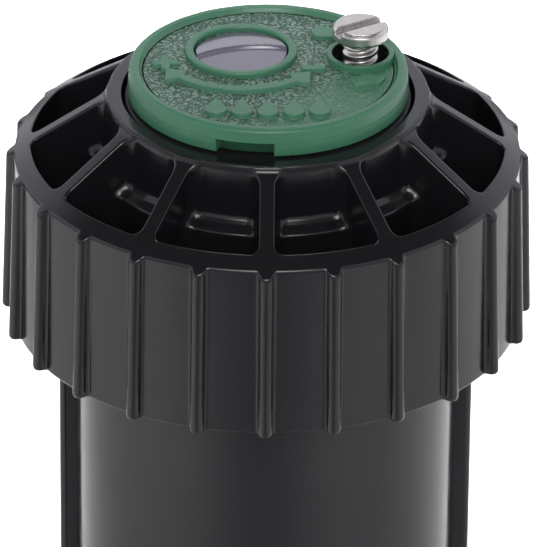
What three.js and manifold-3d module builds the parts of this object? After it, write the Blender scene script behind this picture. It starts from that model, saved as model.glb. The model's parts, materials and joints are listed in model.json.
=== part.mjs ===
// A pop-up gear-drive sprinkler, retracted: a case with a threaded inlet, a ribbed screw cap with its wiper
// seal, a spring-loaded riser that holds a filter, a turbine and a gear drive, and on top a turret with its
// nozzle, radius screw and arc adjuster. Millimetres, +Z up. The origin is the centre of the inlet's lower
// face, and the front is towards -Y. Azimuths are in degrees, anticlockwise from +X seen from above.
import * as THREE from "three";
import { mergeVertices } from "three/addons/utils/BufferGeometryUtils.js";
import Module from "manifold-3d";

// ---- Driving dimensions ----

const GAP = 0.3; // between pieces that touch on the real object
const ROUND = 36; // sides of the large visible turned pieces
const INNER_ROUND = 24; // sides of the turned pieces inside the riser
const SMALL_ROUND = 12; // sides of small shafts and holes

const STROKE = 101.6; // how far the riser pops up
const SKIRT_BOTTOM = 153.5; // lower edge of the cap
const CASE_TOP = 163.4;
const COLLAR_TOP = 183.27;
const SEAL_TOP = 182.9;
const FLANGE_BOTTOM = 183.3; // underside of the turret cap
const DISC_TOP = 186.2; // its textured disc
const RIM_TOP = 186.8; // the raised rim round the disc

const CASE_RADIUS = 23.36;
const CASE_BORE = 21;
const SUMP_BORE = 18.6; // bore below the riser's seat
const SEAT_Z = 43.6; // where the case widens, and the riser's foot rests
const INLET_RADIUS = 12.4; // bore of the 3/4 inch inlet
const BOSS_RADIUS = 17;
const BOSS_TOP = 14.5;
const WING_REACH = 25.4; // radius that the two fins on the case reach
const WING_WIDTH = 2;

const THREAD_PITCH = 4;
const CASE_THREAD_ROOT = 26.2;
const CASE_THREAD_CREST = 27.1;
const CAP_THREAD_ROOT = 27.6;
const CAP_THREAD_CREST = 26.65;

const SKIRT_FOOT_RADIUS = 31.08;
const RING_RADIUS = 30.72; // outer edge of the cap's top ring
const RIB_REACH = 32.4; // radius of the ribs at their feet
const POCKET_RADIUS = 28.67; // outer ends of the cap's openings
const LEDGE_RADIUS = 21.3;
const COLLAR_RADIUS = 19.54;
const COLLAR_BORE = 17.67;
const CAP_RIBS = 24;
const CAP_WEBS = 12;
const RIB_WIDTH = 1.4;
const WEB_WIDTH = 1.9;

const STEM_RADIUS = 14.6;
const STEM_BORE = 13;
const STEM_TOP = 157;
const TURRET_FOOT = 158.6;
const FLANGE_RADIUS = 16.95;
const DISC_RADIUS = 15.35;

const SPRING_TOP = 169.1;
const SPRING_PACKED = 13.9; // the retraction spring's length with the riser fully up
const RING_HEAD = SPRING_TOP - STROKE - SPRING_PACKED; // top of the ratchet ring, which carries the spring
const RING_FOOT = RING_HEAD - 4.8;
const SPRING_RADIUS = 17.3;
const SPRING_WIRE = 0.9; // wire radius

const WINDOW = { radius: 5.4, azimuth: 127.7, bore: 5.8, ring: 6.75 };
const SCREW = { radius: 11.55, azimuth: 16, shank: 2.1, head: 3.35 };
const SCREW_TOP = 190.85;
const NOZZLE_Z = 172.5;
const POSTS = [60, 190, 290]; // azimuths of the turret cap's snap posts
const POST_RADIUS = 11;

const GEAR_MODULE = 0.35;
const WHEEL_TEETH = 24;
const PINION_TEETH = 8;
const GEAR_BASE_Z = 96.9; // lowest gear layer
const LAYER_STEP = 2.3;
const GEAR_WIDTH = 1.9;
const AXLE_DISTANCE = (GEAR_MODULE * (WHEEL_TEETH + PINION_TEETH)) / 2;
const AXLE_A = 150; // azimuth of each axle pin
const AXLE_B = 210;
const PIN_RADIUS = 0.5;

const TRIP_PIVOT_RADIUS = 8.6;
const ARC_MODULE = 0.4;
const ARC_PINION_TEETH = 8;
const ARC_RING_TEETH = ARC_PINION_TEETH + Math.round((2 * WINDOW.radius) / ARC_MODULE);
const DIAL_SHAFT = 1.4;

const TUBE_RADIUS = 2.8; // the tube that carries the water up and turns the turret
const TUBE_BORE = 1.8;
const TUBE_TOP = 169.4;
const OUTPUT_SHAFT = 1.7;

// ---- Materials ----

const surface = (color, roughness, metalness) => ({ color, roughness, metalness });
const BLACK_PLASTIC = surface(0x1b1b1d, 0.35, 0);
const INNER_PLASTIC = surface(0x2e2f33, 0.5, 0);
const GREEN_PLASTIC = surface(0x14532f, 0.4, 0);
const RUBBER = surface(0x18181a, 0.75, 0);
const VIOLET_RUBBER = surface(0x3a3644, 0.3, 0);
const ACETAL = surface(0xe6e3d8, 0.45, 0);
const STEEL = surface(0xb9b6b0, 0.35, 1);
const GREY_NOZZLE = surface(0x6d7076, 0.45, 0);

// ---- Solids ----

const wasm = await Module();
wasm.setup();
const TURN = 2 * Math.PI;
const rad = THREE.MathUtils.degToRad;

// The closed mesh of a geometry as a manifold solid, without the slivers at a turning axis.
function solidOf(geometry) {
  const bare = geometry.clone();
  bare.deleteAttribute("normal");
  bare.deleteAttribute("uv");
  const merged = mergeVertices(bare, 1e-4);
  const corners = merged.index.array;
  const kept = [];
  for (let i = 0; i < corners.length; i += 3) {
    const [a, b, c] = corners.slice(i, i + 3);
    if (a !== b && b !== c && c !== a) kept.push(a, b, c);
  }
  const vertProperties = merged.attributes.position.array;
  const mesh = new wasm.Mesh({ numProp: 3, vertProperties, triVerts: new Uint32Array(kept) });
  return new wasm.Manifold(mesh);
}

function geometryOf(solid) {
  const { vertProperties, triVerts } = solid.getMesh();
  const geometry = new THREE.BufferGeometry();
  geometry.setAttribute("position", new THREE.BufferAttribute(vertProperties, 3));
  geometry.setIndex(new THREE.BufferAttribute(triVerts, 1));
  return geometry;
}

const join = (first, ...others) => others.flat().reduce((whole, piece) => whole.add(piece), first);
const cut = (first, ...others) => others.flat().reduce((whole, piece) => whole.subtract(piece), first);
const copies = (count, make) => Array.from({ length: count }, (_, i) => make((i * 360) / count));

// A body turned about Z from an outline of [radius, z] points, closed or with both ends on the axis.
function turned(outline, sides = ROUND) {
  const points = outline.map(([r, z]) => new THREE.Vector2(r, z));
  if (THREE.ShapeUtils.area(points) < 0) points.reverse();
  if (points[0].x > 0) points.push(points[0].clone());
  return solidOf(new THREE.LatheGeometry(points, sides).rotateX(Math.PI / 2));
}

const disc = (radius, low, high, sides) =>
  turned([[0, low], [radius, low], [radius, high], [0, high]], sides);
const ring = (inner, outer, low, high, sides) =>
  turned([[inner, low], [outer, low], [outer, high], [inner, high]], sides);

function shapeOf(outline, hole) {
  const shape = new THREE.Shape(outline.map(([x, y]) => new THREE.Vector2(x, y)));
  if (hole) shape.holes.push(new THREE.Path(hole.map(([x, y]) => new THREE.Vector2(x, y))));
  return shape;
}

// An outline in XY raised from one height to another.
function raised(outline, low, high, hole) {
  const options = { depth: high - low, bevelEnabled: false };
  return solidOf(new THREE.ExtrudeGeometry(shapeOf(outline, hole), options).translate(0, 0, low));
}

// A flat plate that stands in the radial plane of an azimuth, from an outline of [radius, z] points.
function radialPlate(outline, width, azimuth) {
  const plate = new THREE.ExtrudeGeometry(shapeOf(outline), { depth: width, bevelEnabled: false });
  return solidOf(plate.translate(0, 0, -width / 2).rotateX(Math.PI / 2).rotateZ(rad(azimuth)));
}

const rectangle = (x0, y0, x1, y1) => [[x0, y0], [x1, y0], [x1, y1], [x0, y1]];
const polar = (radius, azimuth) => [radius * Math.cos(rad(azimuth)), radius * Math.sin(rad(azimuth))];
const circle = (radius, sides = SMALL_ROUND) => copies(sides, (azimuth) => polar(radius, azimuth));
const shifted = (outline, [x, y]) => outline.map(([px, py]) => [px + x, py + y]);
const at = (solid, radius, azimuth) => solid.translate([...polar(radius, azimuth), 0]);

// A body turned about a level line through the Z axis: its outline is [radius, distance along the line].
function turnedLevel(outline, azimuth, height, sides = SMALL_ROUND) {
  return turned(outline, sides).rotate([0, 90, 0]).rotate([0, 0, azimuth]).translate([0, 0, height]);
}

// A section of [radius, z] points swept round Z; heightAt gives the rise after a number of turns.
function wound(section, startTurn, turns, stepsPerTurn, heightAt) {
  const steps = Math.round(turns * stepsPerTurn);
  const positions = [];
  for (let step = 0; step <= steps; step += 1) {
    const turnNow = startTurn + (turns * step) / steps;
    const [c, s] = [Math.cos(turnNow * TURN), Math.sin(turnNow * TURN)];
    section.forEach(([r, z]) => positions.push(r * c, r * s, z + heightAt(turnNow)));
  }
  const sides = section.length;
  const index = [];
  for (let step = 0; step < steps; step += 1) {
    for (let i = 0; i < sides; i += 1) {
      const [low, high] = [step * sides + i, step * sides + ((i + 1) % sides)];
      index.push(high, low, low + sides, high, low + sides, high + sides);
    }
  }
  const last = steps * sides;
  for (let i = 1; i < sides - 1; i += 1) {
    index.push(0, i, i + 1, last, last + i + 1, last + i);
  }
  const geometry = new THREE.BufferGeometry();
  geometry.setAttribute("position", new THREE.BufferAttribute(new Float32Array(positions), 3));
  geometry.setIndex(index);
  return solidOf(geometry);
}

// A compression spring: the first and last turns lie flat, and the wire's section has a few sides.
function coilSpring({ radius, wire, low, high, turns, stepsPerTurn, wireSides }) {
  const section = circle(wire, wireSides).map(([r, z]) => [radius + r, z]);
  const closed = 2.15 * wire; // rise of one closed turn
  const [start, end] = [low + wire, high - wire];
  const climb = (end - start - 2 * closed) / (turns - 2);
  const heightAt = (t) => {
    if (t < 1) return start + closed * t;
    if (t > turns - 1) return end - closed * (turns - t);
    return start + closed + climb * (t - 1);
  };
  return wound(section, 0, turns, stepsPerTurn, heightAt);
}

// ---- Gears ----

const ADDENDUM = 0.9; // in modules
const DEDENDUM = 1.15;

// Straight-sided teeth round a circle; inward teeth make an internal gear.
function gearOutline(teeth, gearModule, phase, inward = false) {
  const side = inward ? -1 : 1;
  const pitchRadius = (teeth * gearModule) / 2;
  const tip = pitchRadius + side * ADDENDUM * gearModule;
  const root = pitchRadius - side * DEDENDUM * gearModule;
  const [rootShare, tipShare] = inward ? [0.24, 0.08] : [0.31, 0.11]; // half widths, in teeth
  const corners = [[root, -rootShare], [tip, -tipShare], [tip, tipShare], [root, rootShare]];
  return copies(teeth, (turnedBy) =>
    corners.map(([radius, share]) => polar(radius, phase + turnedBy + (share * 360) / teeth)),
  ).flat();
}

const pitchOf = (teeth) => 360 / teeth;
const layerZ = (layer) => GEAR_BASE_Z + LAYER_STEP * (layer - 1);

// A wheel in one layer whose pinion drives the wheel of the next layer.
// fromAzimuth is the way to the pinion that drives the wheel, toAzimuth the way to the next wheel.
function compoundGear(layer, fromAzimuth, toAzimuth) {
  const low = layerZ(layer);
  const wheel = raised(
    gearOutline(WHEEL_TEETH, GEAR_MODULE, fromAzimuth + pitchOf(WHEEL_TEETH) / 2),
    low,
    low + GEAR_WIDTH,
  );
  const pinionOutline = gearOutline(PINION_TEETH, GEAR_MODULE, toAzimuth);
  const pinion = raised(pinionOutline, low + GEAR_WIDTH / 2, low + GEAR_WIDTH + LAYER_STEP);
  const bore = disc(PIN_RADIUS + 0.2, low - 1, low + 2 * LAYER_STEP, 8);
  return cut(join(wheel, pinion), bore);
}

// ---- Case ----

function caseThread() {
  const section = [
    [CASE_THREAD_ROOT - 0.5, -1.4],
    [CASE_THREAD_CREST, -0.4],
    [CASE_THREAD_CREST, 0.4],
    [CASE_THREAD_ROOT - 0.5, 1.4],
  ];
  return wound(section, 0, 1.4, INNER_ROUND, (t) => SKIRT_BOTTOM + 2.8 + THREAD_PITCH * t);
}

function caseBody() {
  const shell = turned([
    [INLET_RADIUS, 0],
    [BOSS_RADIUS, 0],
    [BOSS_RADIUS, BOSS_TOP],
    [20.4, 20.5],
    [20.8, 38.5],
    [CASE_RADIUS - 0.2, SEAT_Z],
    [CASE_RADIUS, SKIRT_BOTTOM - 1.5],
    [CASE_THREAD_ROOT, SKIRT_BOTTOM + 1],
    [CASE_THREAD_ROOT, CASE_TOP - 0.5],
    [CASE_THREAD_ROOT - 0.5, CASE_TOP],
    [CASE_BORE, CASE_TOP],
    [CASE_BORE, SEAT_Z],
    [SUMP_BORE, SEAT_Z],
    [SUMP_BORE, 24],
    [INLET_RADIUS, 18.5],
  ]);
  const wingOutline = rectangle(CASE_RADIUS - 1.5, 46, WING_REACH, SKIRT_BOTTOM - 0.9);
  const wings = [0, 180].map((azimuth) => radialPlate(wingOutline, WING_WIDTH, azimuth));
  const gussetOutline = [[BOSS_RADIUS - 1, 1.5], [BOSS_RADIUS + 1, 1.5], [20.4, 20], [BOSS_RADIUS - 1, 20]];
  const gussets = copies(8, (azimuth) => radialPlate(gussetOutline, 1.8, azimuth + 22.5));
  const guideOutline = rectangle(CASE_BORE - 0.7, SEAT_Z + 12, CASE_BORE + 1, CASE_TOP - 2);
  const guides = copies(4, (azimuth) => radialPlate(guideOutline, 1.6, azimuth + 45));
  return join(shell, wings, gussets, guides, caseThread());
}

// ---- Cap ----

function capThread() {
  const section = [
    [CAP_THREAD_ROOT + 0.5, 1.4],
    [CAP_THREAD_CREST, 0.4],
    [CAP_THREAD_CREST, -0.4],
    [CAP_THREAD_ROOT + 0.5, -1.4],
  ];
  return wound(section, 0.35, 1.5, INNER_ROUND, (t) => SKIRT_BOTTOM + 0.8 + THREAD_PITCH * t);
}

// Height of the cone on which the cap's ring, webs and rib tops lie.
function slopeAt(radius) {
  return COLLAR_TOP - 0.55 - 0.659 * (radius - COLLAR_RADIUS);
}

function cap() {
  const pocketFloor = 165.3;
  const shell = turned([
    [CAP_THREAD_ROOT, SKIRT_BOTTOM],
    [SKIRT_FOOT_RADIUS, SKIRT_BOTTOM],
    [RING_RADIUS, slopeAt(RING_RADIUS)],
    [POCKET_RADIUS, slopeAt(POCKET_RADIUS)],
    [POCKET_RADIUS - 0.1, pocketFloor],
    [LEDGE_RADIUS, pocketFloor],
    [LEDGE_RADIUS, 175],
    [COLLAR_RADIUS, 175.9],
    [COLLAR_RADIUS, COLLAR_TOP],
    [COLLAR_BORE, COLLAR_TOP],
    [COLLAR_BORE, 173.2],
    [19.6, 173.2],
    [19.6, CASE_TOP + 0.4],
    [CAP_THREAD_ROOT, CASE_TOP + 0.4],
  ]);
  const webOutline = [
    [COLLAR_RADIUS - 0.9, 174.8],
    [LEDGE_RADIUS - 0.8, 174.3],
    [LEDGE_RADIUS - 0.8, pocketFloor - 0.5],
    [POCKET_RADIUS + 0.8, pocketFloor - 0.5],
    [POCKET_RADIUS + 0.8, slopeAt(POCKET_RADIUS + 0.8) - 0.2],
    [POCKET_RADIUS, slopeAt(POCKET_RADIUS) - 0.05],
    [COLLAR_RADIUS, slopeAt(COLLAR_RADIUS)],
    [COLLAR_RADIUS - 0.9, slopeAt(COLLAR_RADIUS)],
  ];
  const webs = copies(CAP_WEBS, (azimuth) => radialPlate(webOutline, WEB_WIDTH, azimuth));
  const ribOutline = [
    [RING_RADIUS - 0.9, SKIRT_BOTTOM - 0.1],
    [RIB_REACH, SKIRT_BOTTOM - 0.1],
    [RIB_REACH - 0.7, slopeAt(RIB_REACH - 0.7) - 0.1],
    [RING_RADIUS - 0.9, slopeAt(RING_RADIUS - 0.9) - 0.1],
  ];
  const ribs = copies(CAP_RIBS, (azimuth) => radialPlate(ribOutline, RIB_WIDTH, azimuth));
  return join(shell, webs, ribs, capThread());
}

// ---- Seal and spring ----

function wiperSeal() {
  const lip = STEM_RADIUS + 0.17;
  return turned([
    [lip, 181.2],
    [lip, SEAL_TOP],
    [COLLAR_BORE - 0.35, SEAL_TOP],
    [COLLAR_BORE - 0.35, 172.9],
    [19.2, 172.9],
    [19.2, 171.3],
    [lip + 0.9, 171.3],
    [lip + 0.9, 180.2],
  ]);
}

const springWasher = () => ring(15.1, 19.2, SPRING_TOP + GAP, 171, INNER_ROUND);

function retractionSpring() {
  return coilSpring({
    radius: SPRING_RADIUS,
    wire: SPRING_WIRE,
    low: RING_HEAD + GAP,
    high: SPRING_TOP,
    turns: 7,
    stepsPerTurn: 14,
    wireSides: 5,
  });
}

// ---- Riser ----

function riserStem() {
  const footTop = RING_FOOT - GAP;
  const stem = turned([
    [STEM_BORE, SEAT_Z + 0.4],
    [20, SEAT_Z + 0.4],
    [20, footTop],
    [STEM_RADIUS, footTop],
    [STEM_RADIUS, STEM_TOP],
    [6.8, STEM_TOP],
    [6.8, 150.5],
    [STEM_BORE, 150.5],
  ]);
  return cut(stem, at(disc(0.95, 153.7, STEM_TOP + 1, 8), TRIP_PIVOT_RADIUS, 270));
}

function ratchetRing() {
  const body = ring(STEM_RADIUS + 0.4, 20.5, RING_FOOT, RING_HEAD, INNER_ROUND);
  const notchOutline = rectangle(19.9, RING_FOOT - 1, 22, RING_HEAD + 1);
  return cut(body, copies(4, (azimuth) => radialPlate(notchOutline, 2.6, azimuth + 45)));
}

function filterBasket() {
  const [foot, head, outer, inner] = [25.5, 56, 12.4, 11.2];
  const cup = turned(
    [[0, foot], [outer, foot], [outer, head], [inner, head], [inner, foot + 1.4], [0, foot + 1.4]],
    24,
  );
  const window = rectangle(inner - 1, foot + 3, outer + 1, SEAT_Z - 1);
  return cut(cup, copies(8, (azimuth) => radialPlate(window, 5.2, azimuth)));
}

// ---- Bypass valve ----

function statorPlate() {
  const plate = ring(3.8, 12.7, 76, 78.5, 24);
  const cage = ring(3.8, 5.4, 70, 76.5, SMALL_ROUND);
  const hub = disc(2.4, 70, 73, SMALL_ROUND);
  const arms = copies(3, (azimuth) => radialPlate(rectangle(1.5, 70, 4.6, 71.6), 1.2, azimuth));
  const stemHole = disc(1.35, 69, 74, 12);
  const jets = copies(6, (azimuth) => at(disc(1.3, 75, 80, 8), 9, azimuth));
  return cut(join(plate, cage, hub, arms), stemHole, jets);
}

const bypassPoppet = () =>
  turned([[0, 58], [2.3, 58], [2.3, 59.2], [1, 59.2], [1, 78.8], [4.6, 78.8], [4.6, 80.2], [0, 80.2]], 12);

const bypassSpring = () =>
  coilSpring({ radius: 1.75, wire: 0.22, low: 59.4, high: 69.8, turns: 7, stepsPerTurn: 8, wireSides: 4 });

// ---- Turbine and gear drive ----

function turbineWheel() {
  const hub = disc(2.8, 86.5, 92, SMALL_ROUND);
  const blade = (azimuth) => {
    const plate = new THREE.BoxGeometry(9.6, 0.9, 4.6).rotateX(rad(38)).translate(6.8, 0, 89.2);
    return solidOf(plate.rotateZ(rad(azimuth)));
  };
  return cut(join(hub, copies(12, blade)), disc(1.2, 86, 93, 12));
}

function turbineShaft() {
  const shaft = disc(0.9, 84.8, GEAR_BASE_Z + GEAR_WIDTH, 12);
  const outline = gearOutline(PINION_TEETH, GEAR_MODULE, AXLE_A);
  return join(shaft, raised(outline, GEAR_BASE_Z, GEAR_BASE_Z + GEAR_WIDTH));
}

const pinHoles = (low, high) =>
  [AXLE_A, AXLE_B].map((azimuth) => at(disc(PIN_RADIUS + 0.25, low, high, 8), AXLE_DISTANCE, azimuth));

function gearCaseBase() {
  const cup = turned(
    [[0, 93.5], [12, 93.5], [12, 108.9], [10.95, 108.9], [10.95, 96], [0, 96]],
    INNER_ROUND,
  );
  return cut(cup, disc(1.3, 93, 97, 12), pinHoles(94.5, 97));
}

function gearCaseCover() {
  const shaftHole = disc(OUTPUT_SHAFT + 0.4, 109, 112, SMALL_ROUND);
  return cut(disc(12, 109.2, 111.8, INNER_ROUND), shaftHole, pinHoles(109, 110.7));
}

const axlePin = (azimuth) => at(disc(PIN_RADIUS, 94.8, 110.4, 8), AXLE_DISTANCE, azimuth);

function outputGear() {
  const low = layerZ(5);
  const wheel = raised(
    gearOutline(WHEEL_TEETH, GEAR_MODULE, AXLE_B + pitchOf(WHEEL_TEETH) / 2),
    low,
    low + GEAR_WIDTH,
  );
  return join(wheel, disc(OUTPUT_SHAFT, low + 1, 113.9, SMALL_ROUND));
}

function driveTube() {
  const [foot, floor] = [112.4, 118.5];
  const tube = turned(
    [
      [0, foot],
      [TUBE_RADIUS, foot],
      [TUBE_RADIUS, TUBE_TOP],
      [TUBE_BORE, TUBE_TOP],
      [TUBE_BORE, floor],
      [0, floor],
    ],
    16,
  );
  const port = turnedLevel([[0, -5], [1.4, -5], [1.4, 5], [0, 5]], 90, floor + 2.5, 8);
  return cut(tube, disc(OUTPUT_SHAFT + GAP, foot - 1, 114.3, SMALL_ROUND), port);
}

const driveBush = () => ring(TUBE_RADIUS + GAP, 6.5, 150.8, STEM_TOP - 0.2, 24);
const thrustWasher = () => ring(11.5, 14.2, STEM_TOP + GAP, TURRET_FOOT - GAP, INNER_ROUND);

// ---- Arc reversing parts ----

const tripPin = () => at(disc(0.7, 154, 158.1, 12), TRIP_PIVOT_RADIUS, 270);

function tripLever() {
  const low = STEM_TOP + GAP;
  const high = low + 0.8;
  const hub = at(disc(1.6, low, high, SMALL_ROUND), TRIP_PIVOT_RADIUS, 270);
  const arm = radialPlate([[4.6, low], [10.8, low], [10.8, high], [4.6, high]], 1.3, 270);
  return cut(join(hub, arm), at(disc(0.95, low - 1, high + 1, 12), TRIP_PIVOT_RADIUS, 270));
}

function tripRing() {
  const [low, high] = [159.4, 162.4];
  const phase = WINDOW.azimuth + pitchOf(ARC_RING_TEETH) / 2;
  const teeth = gearOutline(ARC_RING_TEETH, ARC_MODULE, phase, true);
  const gear = raised(circle(10.7, INNER_ROUND), low, high, teeth.reverse());
  return join(gear, radialPlate(rectangle(9.5, 158.75, 10.5, low + 0.5), 1.6, 250));
}

function arcDial() {
  const pinion = raised(gearOutline(ARC_PINION_TEETH, ARC_MODULE, WINDOW.azimuth), 159.4, 162.8);
  const shaft = disc(DIAL_SHAFT, 162.6, 183.6, SMALL_ROUND);
  const head = disc(2.9, 183.4, 184.9, SMALL_ROUND);
  const slot = raised(rectangle(-2.2, -0.5, 2.2, 0.5), 184.1, 185.5);
  return at(cut(join(pinion, shaft, head), slot), WINDOW.radius, WINDOW.azimuth);
}

// ---- Turret ----

function turretBody() {
  const top = FLANGE_BOTTOM - GAP;
  const body = disc(STEM_RADIUS, TURRET_FOOT, top, ROUND);
  const gearRoom = disc(11.2, TURRET_FOOT - 1, 163.4, INNER_ROUND);
  const tubeSocket = disc(TUBE_RADIUS + GAP, 160, TUBE_TOP + 0.4, 24);
  const riserPassage = disc(TUBE_BORE, TUBE_TOP, NOZZLE_Z, SMALL_ROUND);
  const crossPassage = turnedLevel([[0, -1], [2.4, -1], [2.4, 6], [0, 6]], SCREW.azimuth, NOZZLE_Z);
  const nozzleSocket = turnedLevel([[0, 5.5], [5.2, 5.5], [5.2, 16], [0, 16]], SCREW.azimuth, NOZZLE_Z, 24);
  const screwHole = at(disc(2.6, NOZZLE_Z, top + 1, SMALL_ROUND), SCREW.radius, SCREW.azimuth);
  const postHoles = POSTS.map((azimuth) => at(disc(1.9, 180, top + 1, 8), POST_RADIUS, azimuth));
  const dialHole = at(disc(DIAL_SHAFT + GAP, 160, top + 1, SMALL_ROUND), WINDOW.radius, WINDOW.azimuth);
  const passages = [tubeSocket, riserPassage, crossPassage, nozzleSocket];
  return cut(body, gearRoom, passages, screwHole, dialHole, postHoles);
}

// The mark between the signs: a bar on an arc round the window, with an arrow head at each end.
function arcArrow() {
  const [inner, outer, innerBarb, outerBarb] = [9.5, 10.7, 8.7, 12.1];
  const [from, to, steps, tip] = [222, 314, 12, 12.5];
  const middle = (inner + outer) / 2;
  const side = (radius, start, end) =>
    Array.from({ length: steps + 1 }, (_, i) => polar(radius, start + ((end - start) * i) / steps));
  return [
    ...side(outer, from, to),
    polar(outerBarb, to),
    polar(middle, to + tip),
    polar(innerBarb, to),
    ...side(inner, to, from),
    polar(innerBarb, from),
    polar(middle, from - tip),
    polar(outerBarb, from),
  ];
}

// A water drop with its point up the page, about its own centre.
function drop(size) {
  const round = Array.from({ length: 9 }, (_, i) => polar(size, 160 + (i * 220) / 8));
  return [...round, [0, 2.3 * size]];
}

function turretMarks() {
  const [low, high] = [DISC_TOP - 0.3, DISC_TOP + 0.6];
  const window = polar(WINDOW.radius, WINDOW.azimuth);
  const plus = [rectangle(-1.55, -0.55, 1.55, 0.55), rectangle(-0.55, -1.6, 0.55, 1.6)];
  const minus = rectangle(-1.47, -0.5, 1.47, 0.5);
  const openArrow = [[5.1, 9.2], [6.3, 11.1], [7, 10.4], [9.6, 9.7], [9.4, 7.7], [6.9, 7.9], [5.7, 8]];
  const closeArrow = [[9.8, -3], [10.5, -5.2], [12.7, -4.1], [13.2, -4.7], [14.2, -2.4], [12, -1.9]];
  const outlines = [
    shifted(arcArrow(), window),
    ...plus.map((bar) => shifted(bar, [-12.45, 0.8])),
    shifted(minus, [5.45, -0.15]),
    openArrow,
    closeArrow,
    ...[-2, -1, 0, 1, 2].map((place) => shifted(drop(1.3), [3.1 * place, -11.6 + 0.1 * place ** 2])),
  ];
  return outlines.map((outline) => raised(outline, low, high));
}

function turretCap() {
  const plate = turned([
    [0, FLANGE_BOTTOM],
    [FLANGE_RADIUS - 0.2, FLANGE_BOTTOM],
    [FLANGE_RADIUS, FLANGE_BOTTOM + 0.2],
    [FLANGE_RADIUS, 185.05],
    [FLANGE_RADIUS - 0.1, 185.1],
    [FLANGE_RADIUS - 0.15, RIM_TOP - 0.3],
    [FLANGE_RADIUS - 0.4, RIM_TOP],
    [DISC_RADIUS + 0.2, RIM_TOP],
    [DISC_RADIUS, DISC_TOP],
    [0, DISC_TOP],
  ]);
  const windowRing = disc(WINDOW.ring, DISC_TOP - 0.5, DISC_TOP + 0.7, INNER_ROUND);
  const screwRing = disc(4.05, DISC_TOP - 0.5, DISC_TOP + 0.9, 24);
  const added = [
    at(windowRing, WINDOW.radius, WINDOW.azimuth),
    at(screwRing, SCREW.radius, SCREW.azimuth),
    ...POSTS.map((azimuth) => at(disc(1.5, 180.3, FLANGE_BOTTOM + 0.5, 8), POST_RADIUS, azimuth)),
  ];
  const windowHole = at(disc(WINDOW.bore, 180, 190, INNER_ROUND), WINDOW.radius, WINDOW.azimuth);
  const screwHole = disc(3.5, 178, 190, 24);
  const slotNotch = radialPlate(rectangle(15.7, 182, 19, 185.1), 7.1, 260.7);
  const holes = [windowHole, at(screwHole, SCREW.radius, SCREW.azimuth), slotNotch];
  return cut(join(plate, added, turretMarks()), holes);
}

// The rubber plug over the arc adjuster, with a curved slit for the key.
function arcCover() {
  const [low, high] = [185.15, 186.75];
  const slitLine = new THREE.QuadraticBezierCurve(
    new THREE.Vector2(-5, -1.1),
    new THREE.Vector2(0.4, 2.3),
    new THREE.Vector2(5, 1.4),
  ).getPoints(8);
  const slit = [
    ...slitLine.map((p) => [p.x, p.y - 0.12]),
    ...slitLine.reverse().map((p) => [p.x, p.y + 0.12]),
  ];
  const plug = disc(WINDOW.bore - 0.25, low, high, INNER_ROUND);
  return at(cut(plug, raised(slit, high - 0.5, high + 1)), WINDOW.radius, WINDOW.azimuth);
}

function nozzle() {
  const body = turnedLevel(
    [[3.6, 6], [4.9, 6], [4.9, 13.5], [2, 13.5], [2, 11], [3.6, 8]],
    SCREW.azimuth,
    NOZZLE_Z,
    24,
  );
  return cut(body, at(disc(2.6, NOZZLE_Z, 180, SMALL_ROUND), SCREW.radius, SCREW.azimuth));
}

function radiusScrew() {
  const { shank, head } = SCREW;
  const body = turned(
    [
      [0, 174.6],
      [1, 174.6],
      [shank, 175.8],
      [shank, 189.1],
      [head - 0.15, 189.1],
      [head, 189.25],
      [head, 190.45],
      [head - 0.4, SCREW_TOP],
      [0, SCREW_TOP],
    ],
    24,
  );
  const slot = raised(rectangle(-4, -0.7, 4, 0.7), 190, 191).rotate([0, 0, 32]);
  return at(cut(body, slot), SCREW.radius, SCREW.azimuth);
}

// ---- Assembly ----

const PIECES = [
  ["case_body", caseBody, BLACK_PLASTIC],
  ["cap", cap, BLACK_PLASTIC],
  ["wiper_seal", wiperSeal, RUBBER],
  ["spring_washer", springWasher, ACETAL],
  ["retraction_spring", retractionSpring, STEEL],
  ["ratchet_ring", ratchetRing, ACETAL],
  ["riser_stem", riserStem, BLACK_PLASTIC],
  ["filter_basket", filterBasket, INNER_PLASTIC],
  ["stator_plate", statorPlate, ACETAL],
  ["bypass_poppet", bypassPoppet, INNER_PLASTIC],
  ["bypass_spring", bypassSpring, STEEL],
  ["turbine_wheel", turbineWheel, ACETAL],
  ["turbine_shaft", turbineShaft, STEEL],
  ["gear_case_base", gearCaseBase, INNER_PLASTIC],
  ["gear_case_cover", gearCaseCover, INNER_PLASTIC],
  ["axle_pin_a", () => axlePin(AXLE_A), STEEL],
  ["axle_pin_b", () => axlePin(AXLE_B), STEEL],
  ["gear_a1", () => at(compoundGear(1, AXLE_A + 180, 270), AXLE_DISTANCE, AXLE_A), ACETAL],
  ["gear_b1", () => at(compoundGear(2, 90, 90), AXLE_DISTANCE, AXLE_B), ACETAL],
  ["gear_a2", () => at(compoundGear(3, 270, 270), AXLE_DISTANCE, AXLE_A), ACETAL],
  ["gear_b2", () => at(compoundGear(4, 90, AXLE_B + 180), AXLE_DISTANCE, AXLE_B), ACETAL],
  ["output_gear", outputGear, ACETAL],
  ["drive_tube", driveTube, INNER_PLASTIC],
  ["drive_bush", driveBush, ACETAL],
  ["thrust_washer", thrustWasher, ACETAL],
  ["trip_pin", tripPin, STEEL],
  ["trip_lever", tripLever, ACETAL],
  ["trip_ring", tripRing, ACETAL],
  ["arc_dial", arcDial, ACETAL],
  ["turret_body", turretBody, BLACK_PLASTIC],
  ["turret_cap", turretCap, GREEN_PLASTIC],
  ["arc_cover", arcCover, VIOLET_RUBBER],
  ["nozzle", nozzle, GREY_NOZZLE],
  ["radius_screw", radiusScrew, STEEL],
];

const sprinkler = new THREE.Group();
PIECES.forEach(([name, make, finish]) => {
  const mesh = new THREE.Mesh(geometryOf(make()), new THREE.MeshStandardMaterial(finish));
  mesh.name = name;
  sprinkler.add(mesh);
});

export default sprinkler;
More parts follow.
